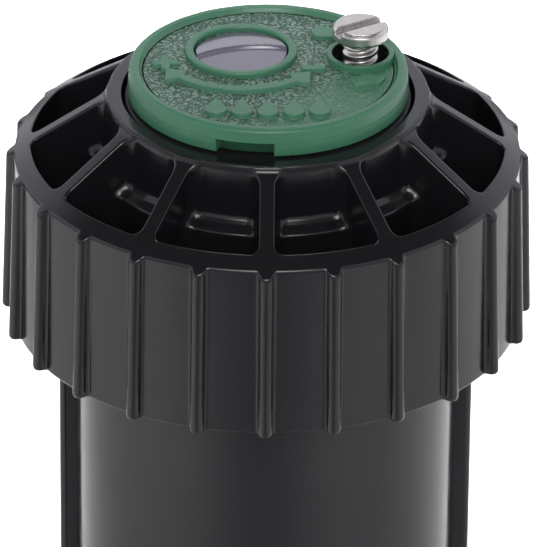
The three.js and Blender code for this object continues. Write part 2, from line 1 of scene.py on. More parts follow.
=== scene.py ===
"""Looks of the pop-up sprinkler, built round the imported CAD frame.

Mesh code works in millimetres in the frame's axes (+Z up, -Y the front); mesh_piece scales it to metres.
Azimuths are in degrees, anticlockwise from +X seen from above.
"""

import json
import math

import bpy
import numpy as np
from mathutils import Matrix, Vector
from mathutils.geometry import delaunay_2d_cdt


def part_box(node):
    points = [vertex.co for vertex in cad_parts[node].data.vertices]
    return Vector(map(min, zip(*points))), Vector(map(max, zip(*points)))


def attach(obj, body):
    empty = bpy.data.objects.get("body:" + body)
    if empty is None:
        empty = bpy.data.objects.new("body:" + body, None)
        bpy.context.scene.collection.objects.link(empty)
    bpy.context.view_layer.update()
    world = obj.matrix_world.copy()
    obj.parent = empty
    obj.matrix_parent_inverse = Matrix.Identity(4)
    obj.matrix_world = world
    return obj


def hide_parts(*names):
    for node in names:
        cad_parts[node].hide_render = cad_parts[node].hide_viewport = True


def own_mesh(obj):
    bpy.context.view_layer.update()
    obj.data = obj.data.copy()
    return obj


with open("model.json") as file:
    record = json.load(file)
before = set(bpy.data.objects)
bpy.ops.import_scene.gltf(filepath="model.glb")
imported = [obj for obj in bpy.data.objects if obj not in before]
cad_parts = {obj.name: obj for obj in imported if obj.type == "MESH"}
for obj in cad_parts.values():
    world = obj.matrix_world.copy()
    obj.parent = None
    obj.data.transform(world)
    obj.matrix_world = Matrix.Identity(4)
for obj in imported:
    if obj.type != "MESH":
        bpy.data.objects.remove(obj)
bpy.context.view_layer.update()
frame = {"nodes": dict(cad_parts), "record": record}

MM = 0.001
TURN = 2 * math.pi


def span(node):
    """The lowest and highest corner of a CAD node, in millimetres."""
    low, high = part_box(node)
    return np.array(low) / MM, np.array(high) / MM


# ---- Driving dimensions, from the frame ----

CAP_LOW, CAP_HIGH = span("cap")
CASE_LOW, CASE_HIGH = span("case_body")
SEAL_LOW, SEAL_HIGH = span("wiper_seal")
TOP_LOW, TOP_HIGH = span("turret_cap")
COVER_LOW, COVER_HIGH = span("arc_cover")
SCREW_LOW, SCREW_HIGH = span("radius_screw")
STEM_LOW, STEM_HIGH = span("riser_stem")
SPRING_LOW, SPRING_HIGH = span("retraction_spring")
BYPASS_LOW, BYPASS_HIGH = span("bypass_spring")

RIB_CREST = CAP_HIGH[0]
SKIRT_FOOT = CAP_LOW[2] + 0.1
COLLAR_TOP = CAP_HIGH[2]
COLLAR_RADIUS = 19.54
COLLAR_BORE = 17.67
LEDGE_RADIUS = 21.3
POCKET_RADIUS = 28.67
RING_RADIUS = 30.72
SKIRT_RADIUS = 31.08  # at its foot
WEB_WIDTH = 1.9
CONE_TOP = COLLAR_TOP - 0.55  # where the cone of ring, webs and rib tops meets the collar
CONE_FALL = 0.659  # its fall for each millimetre outwards
POCKET_FLOOR = COLLAR_TOP - 17.97
LEDGE = COLLAR_TOP - 7.37  # the step on the collar's outside, seen in the pockets
CAP_WEBS = 12
THREAD_PITCH = 4

FLANGE_RADIUS = TOP_HIGH[0]
DISC_RADIUS = 15.35
DISC_TOP = COLLAR_TOP + 2.93
RIM_TOP = DISC_TOP + 0.6
MARK_TOP = DISC_TOP + 0.6
WINDOW = (COVER_LOW[:2] + COVER_HIGH[:2]) / 2
WINDOW_BORE = (COVER_HIGH[0] - COVER_LOW[0]) / 2 + 0.25
SCREW = (SCREW_LOW[:2] + SCREW_HIGH[:2]) / 2
WELL_BORE = 3.42
STEM_RADIUS = span("turret_body")[1][0]  # the turret's body is as wide as the stem


# ---- Outlines ----


def rounded(corners, steps=4):
    """The closed outline of corners (x, y, radius), with each corner turned into an arc."""
    points = []
    count = len(corners)
    for i, (x, y, radius) in enumerate(corners):
        here = np.array((x, y), float)
        before = np.array(corners[i - 1][:2], float) - here
        after = np.array(corners[(i + 1) % count][:2], float) - here
        reach_before, reach_after = np.linalg.norm(before), np.linalg.norm(after)
        before, after = before / reach_before, after / reach_after
        half = math.acos(np.clip(before @ after, -1, 1)) / 2
        if radius <= 0 or half > math.pi / 2 - 0.02:
            points.append(here)
            continue
        reach = min(radius / math.tan(half), 0.48 * reach_before, 0.48 * reach_after)
        radius = reach * math.tan(half)
        middle = (before + after) / np.linalg.norm(before + after)
        centre = here + middle * radius / math.sin(half)
        start, end = here + before * reach - centre, here + after * reach - centre
        sweep = math.pi - 2 * half
        side = 1 if start[0] * end[1] - start[1] * end[0] > 0 else -1
        for step in range(steps + 1):
            angle = side * sweep * step / steps
            c, s = math.cos(angle), math.sin(angle)
            points.append(centre + (start[0] * c - start[1] * s, start[0] * s + start[1] * c))
    return np.array(points)


def anticlockwise(outline):
    """The closed outline as an array, turned round if it runs clockwise."""
    outline = np.asarray(outline, float)
    after = np.roll(outline, -1, axis=0)
    area = np.sum(outline[:, 0] * after[:, 1] - after[:, 0] * outline[:, 1])
    return outline[::-1] if area < 0 else outline


def circle(centre, radius, sides):
    angles = [TURN * k / sides for k in range(sides)]
    return [(centre[0] + radius * math.cos(a), centre[1] + radius * math.sin(a)) for a in angles]


def distance_to(outline, x, y):
    """Signed distance of points (x, y) to a closed outline, below zero inside."""
    nearest = np.full(x.shape, 1e9)
    inside = np.zeros(x.shape, bool)
    for (ax, ay), (bx, by) in zip(outline, np.roll(outline, -1, axis=0)):
        dx, dy = bx - ax, by - ay
        length = dx * dx + dy * dy
        if length < 1e-12:
            continue
        share = np.clip(((x - ax) * dx + (y - ay) * dy) / length, 0, 1)
        nearest = np.minimum(nearest, (x - ax - share * dx) ** 2 + (y - ay - share * dy) ** 2)
        if ay != by:
            crosses = (ay > y) != (by > y)
            inside ^= crosses & (x < ax + (y - ay) * dx / dy)
    return np.where(inside, -1, 1) * np.sqrt(nearest)


def soft_min(a, b, reach):
    """The smaller of two distances, with a fillet of about that reach where they meet."""
    blend = np.maximum(reach - np.abs(a - b), 0) / reach
    return np.minimum(a, b) - blend * blend * reach / 4


def soft_max(a, b, reach):
    return -soft_min(-a, -b, reach)


def round_and(a, b, radius):
    """Where both distances are below zero, with the shared corner rounded."""
    outside = np.hypot(np.maximum(a + radius, 0), np.maximum(b + radius, 0))
    return outside + np.minimum(np.maximum(a, b) + radius, 0) - radius


# ---- Meshes ----

PROBE = 0.01  # step for the slope of a field
NET_STEPS = 3  # times that a net's vertices are moved onto its surface
NET_MOVE = 0.15  # the farthest such a move may go
MISSING = -(10**9)  # index of a vertex that is not there


def mesh_piece(name, vertices, faces, normals=None):
    """A mesh object from millimetre vertices; faces are lists, or an array of quads."""
    mesh = bpy.data.meshes.new(name)
    corners = (np.asarray(vertices, float) * MM).tolist()
    mesh.from_pydata(corners, [], [list(map(int, face)) for face in faces])
    mesh.validate()
    mesh.shade_smooth()
    if normals is not None:
        mesh.normals_split_custom_set_from_vertices(np.asarray(normals, float).tolist())
    piece = bpy.data.objects.new(name, mesh)
    bpy.context.scene.collection.objects.link(piece)
    if normals is None:
        weighted = piece.modifiers.new("weighted", "WEIGHTED_NORMAL")
        weighted.keep_sharp = True
        weighted.weight = 50
    return piece


def joined(parts):
    """Several (vertices, faces) as one."""
    vertices, faces = [], []
    for part_vertices, part_faces in parts:
        start = len(vertices)
        vertices.extend(np.asarray(part_vertices, float).tolist())
        faces.extend([start + int(i) for i in face] for face in part_faces)
    return np.array(vertices), faces


def row_quads(rows, size):
    """The quads between so many rows of vertices, each a closed ring of that size."""
    quads = []
    for row in range(rows - 1):
        for k in range(size):
            a, b = row * size + k, row * size + (k + 1) % size
            quads.append([a, b, b + size, a + size])
    return quads


def end_faces(rows, size):
    """The first ring, turned round, and the last ring, each as one face."""
    last = (rows - 1) * size
    return [list(range(size))[::-1], [last + k for k in range(size)]]


def turned(outline, sides=128, centre=(0, 0)):
    """A closed [radius, z] outline turned about a vertical axis, facing out."""
    outline = anticlockwise(outline)
    count = len(outline)
    on_axis = outline[:, 0] < 1e-6
    if on_axis.any():  # start on the axis and end on it, without the stretch along it
        start = next(i for i in range(count) if on_axis[i] and not on_axis[(i + 1) % count])
        last = next(i for i in range(1, count) if on_axis[(start + i) % count])
        outline = np.roll(outline, -start, axis=0)[: last + 1]
    vertices, rows = [], []
    for radius, z in outline:
        if radius < 1e-6:
            rows.append([len(vertices)] * sides)
            vertices.append((centre[0], centre[1], z))
        else:
            rows.append(list(range(len(vertices), len(vertices) + sides)))
            vertices.extend((x, y, z) for x, y in circle(centre, radius, sides))
    faces = []
    pairs = list(zip(rows, rows[1:]))
    if not on_axis.any():
        pairs.append((rows[-1], rows[0]))
    for low, high in pairs:
        for k in range(sides):
            after = (k + 1) % sides
            face = [low[k], low[after], high[after], high[k]]
            kept = [v for i, v in enumerate(face) if v != face[i - 1]]
            if len(kept) > 2:
                faces.append(kept)
    return np.array(vertices), faces


def sector_turn(sector, sectors):
    """The matrix, for row vectors, that turns the first sector onto another one."""
    c, s = math.cos(TURN * sector / sectors), math.sin(TURN * sector / sectors)
    return np.array(((c, s, 0), (-s, c, 0), (0, 0, 1)))


def surface_net(field, grid, sectors=1, wraps=False):
    """The zero surface of field on a grid of points (i, j, k, xyz), as vertices, quads and normals.

    With wraps, the grid's first axis goes round Z, and covers one of so many equal sectors.
    """
    values = field(grid.reshape(-1, 3)).reshape(grid.shape[:3])
    inside = values < 0
    cells = tuple(n - 1 for n in values.shape)
    total, count = np.zeros((*cells, 3)), np.zeros(cells)
    edges = []
    for axis in range(3):
        low = [slice(None)] * 3
        high = [slice(None)] * 3
        low[axis], high[axis] = slice(0, -1), slice(1, None)
        low, high = tuple(low), tuple(high)
        crossing = inside[low] != inside[high]
        where = np.argwhere(crossing)
        a, b = values[low][crossing], values[high][crossing]
        share = (a / (a - b))[:, None]
        points = grid[low][crossing] * (1 - share) + grid[high][crossing] * share
        edges.append((axis, where))
        others = [o for o in range(3) if o != axis]
        for first in (0, 1):
            for second in (0, 1):
                cell = where.copy()
                cell[:, others[0]] -= first
                cell[:, others[1]] -= second
                kept = ((cell >= 0) & (cell < cells)).all(axis=1)
                np.add.at(total, tuple(cell[kept].T), points[kept])
                np.add.at(count, tuple(cell[kept].T), 1)
    used = count > 0
    index = np.full(cells, -1)
    index[used] = np.arange(used.sum())
    vertices = total[used] / count[used][:, None]

    def slope(at):
        parts = []
        for axis in np.eye(3):
            parts.append((field(at + PROBE * axis) - field(at - PROBE * axis)) / (2 * PROBE))
        return np.stack(parts, axis=1)

    for _ in range(NET_STEPS):
        gradient = slope(vertices)
        size = np.maximum((gradient**2).sum(axis=1), 0.2)
        move = np.clip(field(vertices) / size, -NET_MOVE, NET_MOVE)
        vertices = vertices - move[:, None] * gradient
    normals = slope(vertices)
    normals /= np.maximum(np.linalg.norm(normals, axis=1), 1e-9)[:, None]
    quads = []
    per_sector = len(vertices)
    for axis, where in edges:
        first, second = [o for o in range(3) if o != axis]
        if wraps:
            where = where[where[:, 0] < cells[0]]
        corners = []
        for da, db in ((0, 0), (-1, 0), (-1, -1), (0, -1)):
            cell = where.copy()
            cell[:, first] += da
            cell[:, second] += db
            behind = np.zeros(len(cell), bool)
            if wraps:
                behind = cell[:, 0] < 0
                cell[behind, 0] += cells[0]
            fits = ((cell >= 0) & (cell < cells)).all(axis=1)
            cell = np.where(fits[:, None], cell, 0)
            found = index[tuple(cell.T)]
            corners.append(np.where(fits & (found >= 0), found - behind * per_sector, MISSING))
        quad = np.stack(corners, axis=1)
        quads.append(quad[(quad != MISSING).all(axis=1)])
    quads = np.concatenate(quads)
    if wraps:
        turns = [sector_turn(sector, sectors) for sector in range(sectors)]
        quads = np.concatenate([quads + sector * per_sector for sector in range(sectors)])
        quads %= sectors * per_sector
        vertices = np.concatenate([vertices @ turn for turn in turns])
        normals = np.concatenate([normals @ turn for turn in turns])
    corners = vertices[quads]
    facing = np.cross(corners[:, 2] - corners[:, 0], corners[:, 3] - corners[:, 1])
    backward = (facing * normals[quads].sum(axis=1)).sum(axis=1) < 0
    quads[backward] = quads[backward][:, ::-1]
    return vertices, quads, normals


def swept(section, path, frames):
    """A closed section of (across, up) swept along a path; frames give the two directions at each point."""
    vertices = []
    for point, (across, up) in zip(path, np.array(frames, float)):
        vertices.extend(np.asarray(point) + a * across + u * up for a, u in section)
    faces = row_quads(len(path), len(section)) + end_faces(len(path), len(section))
    return np.array(vertices), faces


def thread(section, steps, start, turns, radius, run_out, foot):
    """A screw thread; over the first and last twelfth its radius changes by up to run_out."""
    path, frames = [], []
    for step in range(steps + 1):
        share = step / steps
        t = start + turns * share
        c, s = math.cos(TURN * t), math.sin(TURN * t)
        reach = radius + run_out * max(0, 1 - 12 * min(share, 1 - share)) ** 2
        path.append((reach * c, reach * s, foot + THREAD_PITCH * t))
        frames.append(((c, s, 0), (0, 0, 1)))
    return swept(section, path, frames)


def coil(radius, wire, low, high, turns, steps_per_turn, wire_sides=12):
    """A compression spring with its first and last turn closed; wire is the wire's radius."""
    closed = 2.15 * wire
    start, end = low + wire, high - wire
    climb = (end - start - 2 * closed) / (turns - 2)

    def height(t):
        if t < 1:
            return start + closed * t
        if t > turns - 1:
            return end - closed * (turns - t)
        return start + closed + climb * (t - 1)

    section = circle((0, 0), wire, wire_sides)
    path, frames = [], []
    for step in range(round(turns * steps_per_turn) + 1):
        t = step / steps_per_turn
        c, s = math.cos(TURN * t), math.sin(TURN * t)
        path.append((radius * c, radius * s, height(t)))
        frames.append(((c, s, 0), (0, 0, 1)))
    vertices, faces = swept(section, path, frames)
    return vertices, [face[::-1] for face in faces]


# ---- Materials ----


MIX_A, MIX_B, MIX_RESULT = 6, 7, 2  # the colour sockets of a mix node
RANGE_SOCKETS = ("From Min", "From Max", "To Min", "To Max")


class Nodes:
    """The node tree of a material, or of the world, with one call for each node."""

    def __init__(self, name, library=None, shader="Principled BSDF"):
        library = bpy.data.materials if library is None else library
        self.owner = library.new(name)
        self.owner.use_nodes = True
        self.tree = self.owner.node_tree
        self.shader = self.tree.nodes[shader]

    def add(self, kind, **settings):
        node = self.tree.nodes.new(kind)
        for key, value in settings.items():
            if hasattr(node, key):
                setattr(node, key, value)
            else:
                node.inputs[key.replace("_", " ")].default_value = value
        return node

    def link(self, output, node, socket):
        self.tree.links.new(output, node.inputs[socket])

    def give(self, socket, value):
        """Sets a socket to a number or colour, or links another node's output to it."""
        if isinstance(value, bpy.types.NodeSocket):
            self.tree.links.new(value, socket)
        else:
            socket.default_value = value

    def place(self):
        return self.add("ShaderNodeTexCoord").outputs["Object"]

    def noise(self, scale, detail=3.0, roughness=0.5, vector=None, distortion=0.0):
        node = self.add("ShaderNodeTexNoise", Scale=scale, Detail=detail)
        node.inputs["Roughness"].default_value = roughness
        node.inputs["Distortion"].default_value = distortion
        self.link(vector or self.place(), node, "Vector")
        return node.outputs["Fac"]

    def remap(self, value, low, high, out_low, out_high, smooth=False):
        node = self.add("ShaderNodeMapRange")
        node.interpolation_type = "SMOOTHSTEP" if smooth else "LINEAR"
        self.link(value, node, "Value")
        for socket, number in zip(RANGE_SOCKETS, (low, high, out_low, out_high)):
            node.inputs[socket].default_value = number
        return node.outputs["Result"]

    def math(self, operation, a, b=0.0):
        node = self.add("ShaderNodeMath", operation=operation)
        for socket, value in zip(node.inputs[:2], (a, b)):
            self.give(socket, value)
        return node.outputs["Value"]

    def mix(self, share, a, b):
        """From colour a to colour b; each is three numbers, or another node's output."""
        node = self.add("ShaderNodeMix", data_type="RGBA")
        self.link(share, node, "Factor")
        for socket, colour in ((MIX_A, a), (MIX_B, b)):
            self.give(node.inputs[socket], (*colour, 1) if isinstance(colour, tuple) else colour)
        return node.outputs[MIX_RESULT]

    def bump(self, height, distance, normal=None):
        node = self.add("ShaderNodeBump", Strength=1.0, Distance=distance)
        self.link(height, node, "Height")
        if normal is not None:
            self.link(normal, node, "Normal")
        return node.outputs["Normal"]

    def finish(self, colour=None, roughness=None, normal=None, **constants):
        for socket, output in (("Base Color", colour), ("Roughness", roughness), ("Normal", normal)):
            if output is not None:
                self.link(output, self.shader, socket)
        for key, value in constants.items():
            self.shader.inputs[key.replace("_", " ")].default_value = value
        return self.owner


def shades(colour, spread):
    """A colour's darker and lighter neighbour."""
    return tuple(c * (1 - spread) for c in colour), tuple(c * (1 + spread) for c in colour)


def moulded(name, colour, roughness, grain=0.006, wave=0.02, spread=0.12, **constants):
    """Injection-moulded plastic: fine surface grain, slow waves and a little uneven gloss."""
    nodes = Nodes(name)
    dark, light = shades(colour, spread)
    tint = nodes.mix(nodes.noise(90, 4), dark, light)
    gloss = nodes.remap(nodes.noise(260, 5, 0.6), 0.3, 0.7, roughness * 0.8, roughness * 1.25)
    fine = nodes.bump(nodes.noise(4200, 2), grain * MM)
    slow = nodes.bump(nodes.noise(130, 2), wave * MM, normal=fine)
    return nodes.finish(tint, gloss, slow, **constants)


def metal(name, colour, roughness, scratch_scale=(900, 60, 900), **constants):
    """Turned or drawn steel: fine lines and uneven brightness."""
    nodes = Nodes(name)
    dark, light = shades(colour, 0.14)
    stretched = nodes.add("ShaderNodeMapping")
    nodes.link(nodes.place(), stretched, "Vector")
    stretched.inputs["Scale"].default_value = scratch_scale
    lines = nodes.noise(4, 4, 0.6, vector=stretched.outputs["Vector"])
    tint = nodes.mix(nodes.noise(500, 3), dark, light)
    gloss = nodes.remap(lines, 0.3, 0.7, roughness * 0.75, roughness * 1.35)
    normal = nodes.bump(lines, 0.01 * MM)
    return nodes.finish(tint, gloss, normal, Metallic=1.0, **constants)


def rubber(name, colour, roughness, **constants):
    nodes = Nodes(name)
    dark, light = shades(colour, 0.2)
    tint = nodes.mix(nodes.noise(400, 5, 0.7), dark, light)
    gloss = nodes.remap(nodes.noise(900, 4), 0.3, 0.7, roughness * 0.85, roughness * 1.15)
    normal = nodes.bump(nodes.noise(3000, 3), 0.012 * MM)
    return nodes.finish(tint, gloss, normal, **constants)


BLACK = moulded("black_plastic", (0.0095, 0.0095, 0.011), 0.18, grain=0.003, wave=0.012)
INNER = moulded("inner_plastic", (0.05, 0.052, 0.06), 0.45, grain=0.01)
ACETAL = moulded("acetal", (0.78, 0.75, 0.68), 0.42, grain=0.005, spread=0.05)
NOZZLE_GREY = moulded("nozzle_plastic", (0.16, 0.17, 0.19), 0.42, grain=0.008)
SEAL_RUBBER = rubber("black_rubber", (0.012, 0.012, 0.013), 0.55)
STEEL = metal("steel", (0.62, 0.6, 0.57), 0.3)


def dress(piece, material, slot, body, *nodes):
    """Gives a piece its material, sets it on its body and hides the CAD nodes that it stands for."""
    piece.data.materials.clear()
    piece.data.materials.append(material)
    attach(piece, body)
    if nodes:
        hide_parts(*nodes)
    return piece


# ---- Cap ----


def cone(radius):
    """Height of the cone on which the ring, the webs and the tops of the ribs lie."""
    return CONE_TOP - CONE_FALL * (radius - COLLAR_RADIUS)


def cap_section():
    """The cap as a solid of revolution, before its pockets and the cone outside its collar are cut."""
    taper = (SKIRT_RADIUS - RING_RADIUS) / (cone(RING_RADIUS) - SKIRT_FOOT)
    skirt_bore, seal_bore = 27.6, 19.6
    seal_seat, ceiling = COLLAR_TOP - 10.07, COLLAR_TOP - 19.47
    return rounded([
        (skirt_bore, SKIRT_FOOT, 0.15),
        (SKIRT_RADIUS, SKIRT_FOOT, 0.35),
        (SKIRT_RADIUS - taper * (COLLAR_TOP - SKIRT_FOOT), COLLAR_TOP, 0),
        (COLLAR_BORE, COLLAR_TOP, 0.16),
        (COLLAR_BORE, seal_seat, 0.1),
        (seal_bore, seal_seat, 0.1),
        (seal_bore, ceiling, 0.3),
        (skirt_bore, ceiling, 0.5),
    ])


def pocket_section():
    """The space between collar and ring that each pocket cuts out; it is open at the top."""
    above = COLLAR_TOP + 8
    return rounded([
        (POCKET_RADIUS - 0.1, POCKET_FLOOR, 0.8),
        (POCKET_RADIUS, cone(POCKET_RADIUS), 0),
        (POCKET_RADIUS + 0.1, above, 0),
        (COLLAR_RADIUS, above, 0),
        (COLLAR_RADIUS, LEDGE, 2.5),
        (LEDGE_RADIUS, LEDGE - 0.9, 0.7),
        (LEDGE_RADIUS, POCKET_FLOOR, 0.8),
    ])


def cap_field():
    """The cap as a field: a turned shell with ribs, cut by the cone and by the pockets between the webs."""
    shell, pocket = cap_section(), pocket_section()
    pitch = TURN / CAP_WEBS
    rib_radius, rib_fall = 0.85, 0.7
    foot, rib_top = CAP_LOW[2], cone(RIB_CREST - 0.7)
    steep = 1 / math.hypot(1, CONE_FALL)

    def post(radius, angle, z):
        """A rib: an upright post that leans in towards its top."""
        crest = RIB_CREST - 0.02 - rib_fall * (z - foot) / (rib_top - foot)
        out = radius * np.cos(angle) - (crest - rib_radius)
        return np.hypot(radius * np.sin(angle), out) - rib_radius

    def field(points):
        radius = np.hypot(points[:, 0], points[:, 1])
        angle = np.abs((np.arctan2(points[:, 1], points[:, 0]) + pitch / 2) % pitch - pitch / 2)
        z = points[:, 2]
        posts = np.minimum(post(radius, angle, z), post(radius, pitch / 2 - angle, z))
        solid = soft_min(distance_to(shell, radius, z), soft_max(posts, foot - z, 0.7), 0.5)
        below_cone = soft_min(steep * (z - cone(radius)), radius - COLLAR_RADIUS, 0.5)
        solid = soft_max(solid, below_cone, 0.3)
        beside_web = WEB_WIDTH / 2 - radius * np.sin(angle)
        corner = np.interp(radius, [COLLAR_RADIUS, POCKET_RADIUS], [1.5, 1.1])
        hollow = round_and(distance_to(pocket, radius, z), beside_web, corner)
        return soft_max(solid, -hollow, 0.34)

    return field


def cap_grid():
    """Grid points over one sector, which follow the webs, the ribs and the sloping top of the cap."""
    half = math.pi / CAP_WEBS
    beside_web = [0, 0.25, 0.5, 0.68, 0.82, 0.97, 1.12, 1.4, 1.8, 2.35]
    beside_rib = [1.5, 1.15, 1.0, 0.86, 0.7, 0.48, 0.24, 0]
    radii = [
        17.5, 17.62, 17.75, 17.95, 18.5, 19.2, 19.38, 19.5, 19.62, 19.78, 20.1, 20.6, 21.1, 21.25, 21.4, 21.7,
        22.5, 23.5, 24.5, 25.5, 26.4, 27.2, 27.8, 28.2, 28.42, 28.56, 28.68, 28.8, 29.0, 29.4, 29.9, 30.3, 30.5,
        30.64, 30.76, 30.88, 31.0, 31.12, 31.26, 31.4, 31.55, 31.7, 31.85, 32.0, 32.15, 32.3, 32.42, 32.56,
    ]
    foot, fixed = CAP_LOW[2], POCKET_FLOOR + 5.8
    near_foot = [-0.1, 0.06, 0.22, 0.4, 0.65, 1.1, 2.2, 4.2, 6.8, 9.2, 10.2, 10.42, 10.65, 11.2]
    near_floor = [-0.35, -0.08, 0.2, 0.5, 1.0, 2.2, 4.0, 5.8]
    near_ledge = [-3.4, -2.2, -1.5, -1.2, -0.98, -0.78, -0.55, -0.32, -0.1, 0.1]
    low_levels = [foot + d for d in near_foot]
    low_levels += [POCKET_FLOOR + d for d in near_floor]
    low_levels += [LEDGE + d for d in near_ledge]
    shares = [0.12, 0.3, 0.5, 0.66, 0.78, 0.87, 0.93, 0.97]
    above = [0.05, 0.16, 0.3, 0.42, 0.51, 0.6, 0.75]

    def angles_at(radius):
        near_web = [math.asin(x / radius) for x in beside_web]
        near_rib = [half - math.asin(x / radius) for x in beside_rib]
        gap = np.linspace(near_web[-1], near_rib[0], 4)[1:-1]
        right = near_web + list(gap) + near_rib
        return [-a for a in right[:0:-1]] + right

    def levels_at(radius):
        """Fixed levels up to the pockets' middle, and from there on squeezed under the cone."""
        top = cone(max(radius, COLLAR_RADIUS))
        squeeze = min(1, (top - 0.7 - fixed) / (low_levels[-1] - fixed))
        levels = [z if z <= fixed else fixed + squeeze * (z - fixed) for z in low_levels]
        base = levels[-1]
        levels += [base + share * (top - base) for share in shares]
        return levels + [top + rise for rise in above]

    columns = []
    for radius in radii:
        levels = np.array(levels_at(radius))
        angles = np.array(angles_at(radius))
        column = np.empty((len(angles), len(levels), 3))
        column[:, :, 0] = (radius * np.cos(angles))[:, None]
        column[:, :, 1] = (radius * np.sin(angles))[:, None]
        column[:, :, 2] = levels[None, :]
        columns.append(column)
    return np.stack(columns, axis=1)


def cap_thread():
    """The internal thread, 1.5 turns, run out into the skirt at both ends."""
    section = [(1.5, 1.4), (0.12, 0.55), (0, 0.4), (0, -0.4), (0.12, -0.55), (1.5, -1.4)]
    return thread(section, 150, 0.35, 1.5, 26.65, 0.9, SKIRT_FOOT + 0.8)


cap_net = surface_net(cap_field(), cap_grid(), CAP_WEBS, wraps=True)
dress(mesh_piece("cap_shell", *cap_net), BLACK, "black_plastic", "cap", "cap")
dress(mesh_piece("cap_inner_thread", *cap_thread()), BLACK, "black_plastic", "cap")


# ---- Case ----


def case_outline():
    """The case as a solid of revolution: inlet spigot, flow chamber, barrel and threaded neck."""
    seat = CASE_LOW[2] + 43.6
    inlet_bore, inlet_radius = 12.4, 17
    chamber_bore, barrel_bore = 18.6, 21
    neck_radius = 26.2
    return rounded([
        (inlet_bore, 0, 0.4),
        (inlet_radius, 0, 0.6),
        (inlet_radius, 14.5, 1.5),
        (20.4, 20.5, 2),
        (20.8, 38.5, 3),
        (23.16, seat, 3),
        (23.36, SKIRT_FOOT - 1.5, 0.8),
        (neck_radius, SKIRT_FOOT + 1, 0.4),
        (neck_radius, CASE_HIGH[2] - 0.5, 0.2),
        (neck_radius - 0.5, CASE_HIGH[2], 0.2),
        (barrel_bore, CASE_HIGH[2], 0.3),
        (barrel_bore, seat, 0.3),
        (chamber_bore, seat, 0.3),
        (chamber_bore, 24, 2),
        (inlet_bore, 18.5, 1),
    ])


def radial_plate(outline, width, azimuth, edge=0.25):
    """A flat plate in the radial plane of an azimuth, from a [radius, z] outline, with rounded edges."""
    outline = anticlockwise(outline)
    forward = np.roll(outline, -1, axis=0) - np.roll(outline, 1, axis=0)
    forward /= np.linalg.norm(forward, axis=1)[:, None]
    outward = np.stack((forward[:, 1], -forward[:, 0]), axis=1)
    rows = []
    for side in (-1, 1):
        turns = [math.pi / 2 * k / 3 for k in range(4)]
        for turn in turns if side < 0 else turns[::-1]:
            inset = edge * (1 - math.sin(turn))
            rows.append((outline - outward * inset, side * (width / 2 - edge * (1 - math.cos(turn)))))
    c, s = math.cos(math.radians(azimuth)), math.sin(math.radians(azimuth))
    vertices = []
    for points, across in rows:
        vertices.extend((r * c - across * s, r * s + across * c, z) for r, z in points)
    sides = [[a, d, c, b] for a, b, c, d in row_quads(len(rows), len(outline))]
    ends = [face[::-1] for face in end_faces(len(rows), len(outline))]
    return np.array(vertices), sides + ends


def case_thread():
    """The external thread, 1.4 turns, run out into the neck at both ends."""
    section = [(-1.4, -1.4), (-0.12, -0.52), (0, -0.4), (0, 0.4), (-0.12, 0.52), (-1.4, 1.4)]
    return thread(section, 140, 0, 1.4, 27.1, -0.8, SKIRT_FOOT + 2.8)


def upright(left, right, low, high, radii=(0, 0, 0, 0), steps=4):
    """A rectangular outline with a radius for each corner, which starts at the left low one."""
    corners = ((left, low), (right, low), (right, high), (left, high))
    return rounded([(*corner, radius) for corner, radius in zip(corners, radii)], steps)


wing = upright(21.9, 25.4, 46, SKIRT_FOOT - 0.9, (0, 1.2, 0.6, 0))
gusset = rounded([(16, 1.5, 0), (18, 1.5, 0.4), (20.4, 20, 0), (16, 20, 0)])
guide = upright(20.3, 22, 55.6, 161.4, (0.6, 0, 0, 0.6))
case_parts = [turned(case_outline(), 144), case_thread()]
case_parts += [radial_plate(wing, 2, azimuth, 0.7) for azimuth in (0, 180)]
case_parts += [radial_plate(gusset, 1.8, 22.5 + 45 * k) for k in range(8)]
case_parts += [radial_plate(guide, 1.6, 45 + 90 * k) for k in range(4)]
dress(mesh_piece("case_shell", *joined(case_parts)), BLACK, "black_plastic", "case", "case_body")


# ---- Seal, stem and turret body ----

lip = STEM_RADIUS + 0.17  # the bore of the seal's wiping lip
seal_outline = rounded([
    (lip, SEAL_HIGH[2] - 1.7, 0.1),
    (lip, SEAL_HIGH[2], 0.12),
    (COLLAR_BORE - 0.35, SEAL_HIGH[2], 0.3),
    (COLLAR_BORE - 0.35, SEAL_LOW[2] + 1.6, 0.1),
    (19.2, SEAL_LOW[2] + 1.6, 0.3),
    (19.2, SEAL_LOW[2], 0.3),
    (lip + 0.9, SEAL_LOW[2], 0.2),
    (lip + 0.9, SEAL_HIGH[2] - 2.7, 0.3),
])
seal = mesh_piece("wiper_seal_ring", *turned(seal_outline))
dress(seal, SEAL_RUBBER, "black_rubber", "seal_carrier", "wiper_seal")

stem_outline = rounded([
    (13, STEM_LOW[2], 0.3),
    (20, STEM_LOW[2], 0.4),
    (20, STEM_LOW[2] + 4.5, 0.4),
    (STEM_RADIUS, STEM_LOW[2] + 4.5, 0.5),
    (STEM_RADIUS, STEM_HIGH[2], 0.35),
    (6.8, STEM_HIGH[2], 0.3),
    (6.8, STEM_HIGH[2] - 6.5, 0.3),
    (13, STEM_HIGH[2] - 6.5, 0.5),
])
dress(mesh_piece("riser_tube", *turned(stem_outline)), BLACK, "black_plastic", "riser", "riser_stem")


# ---- Turret cap ----


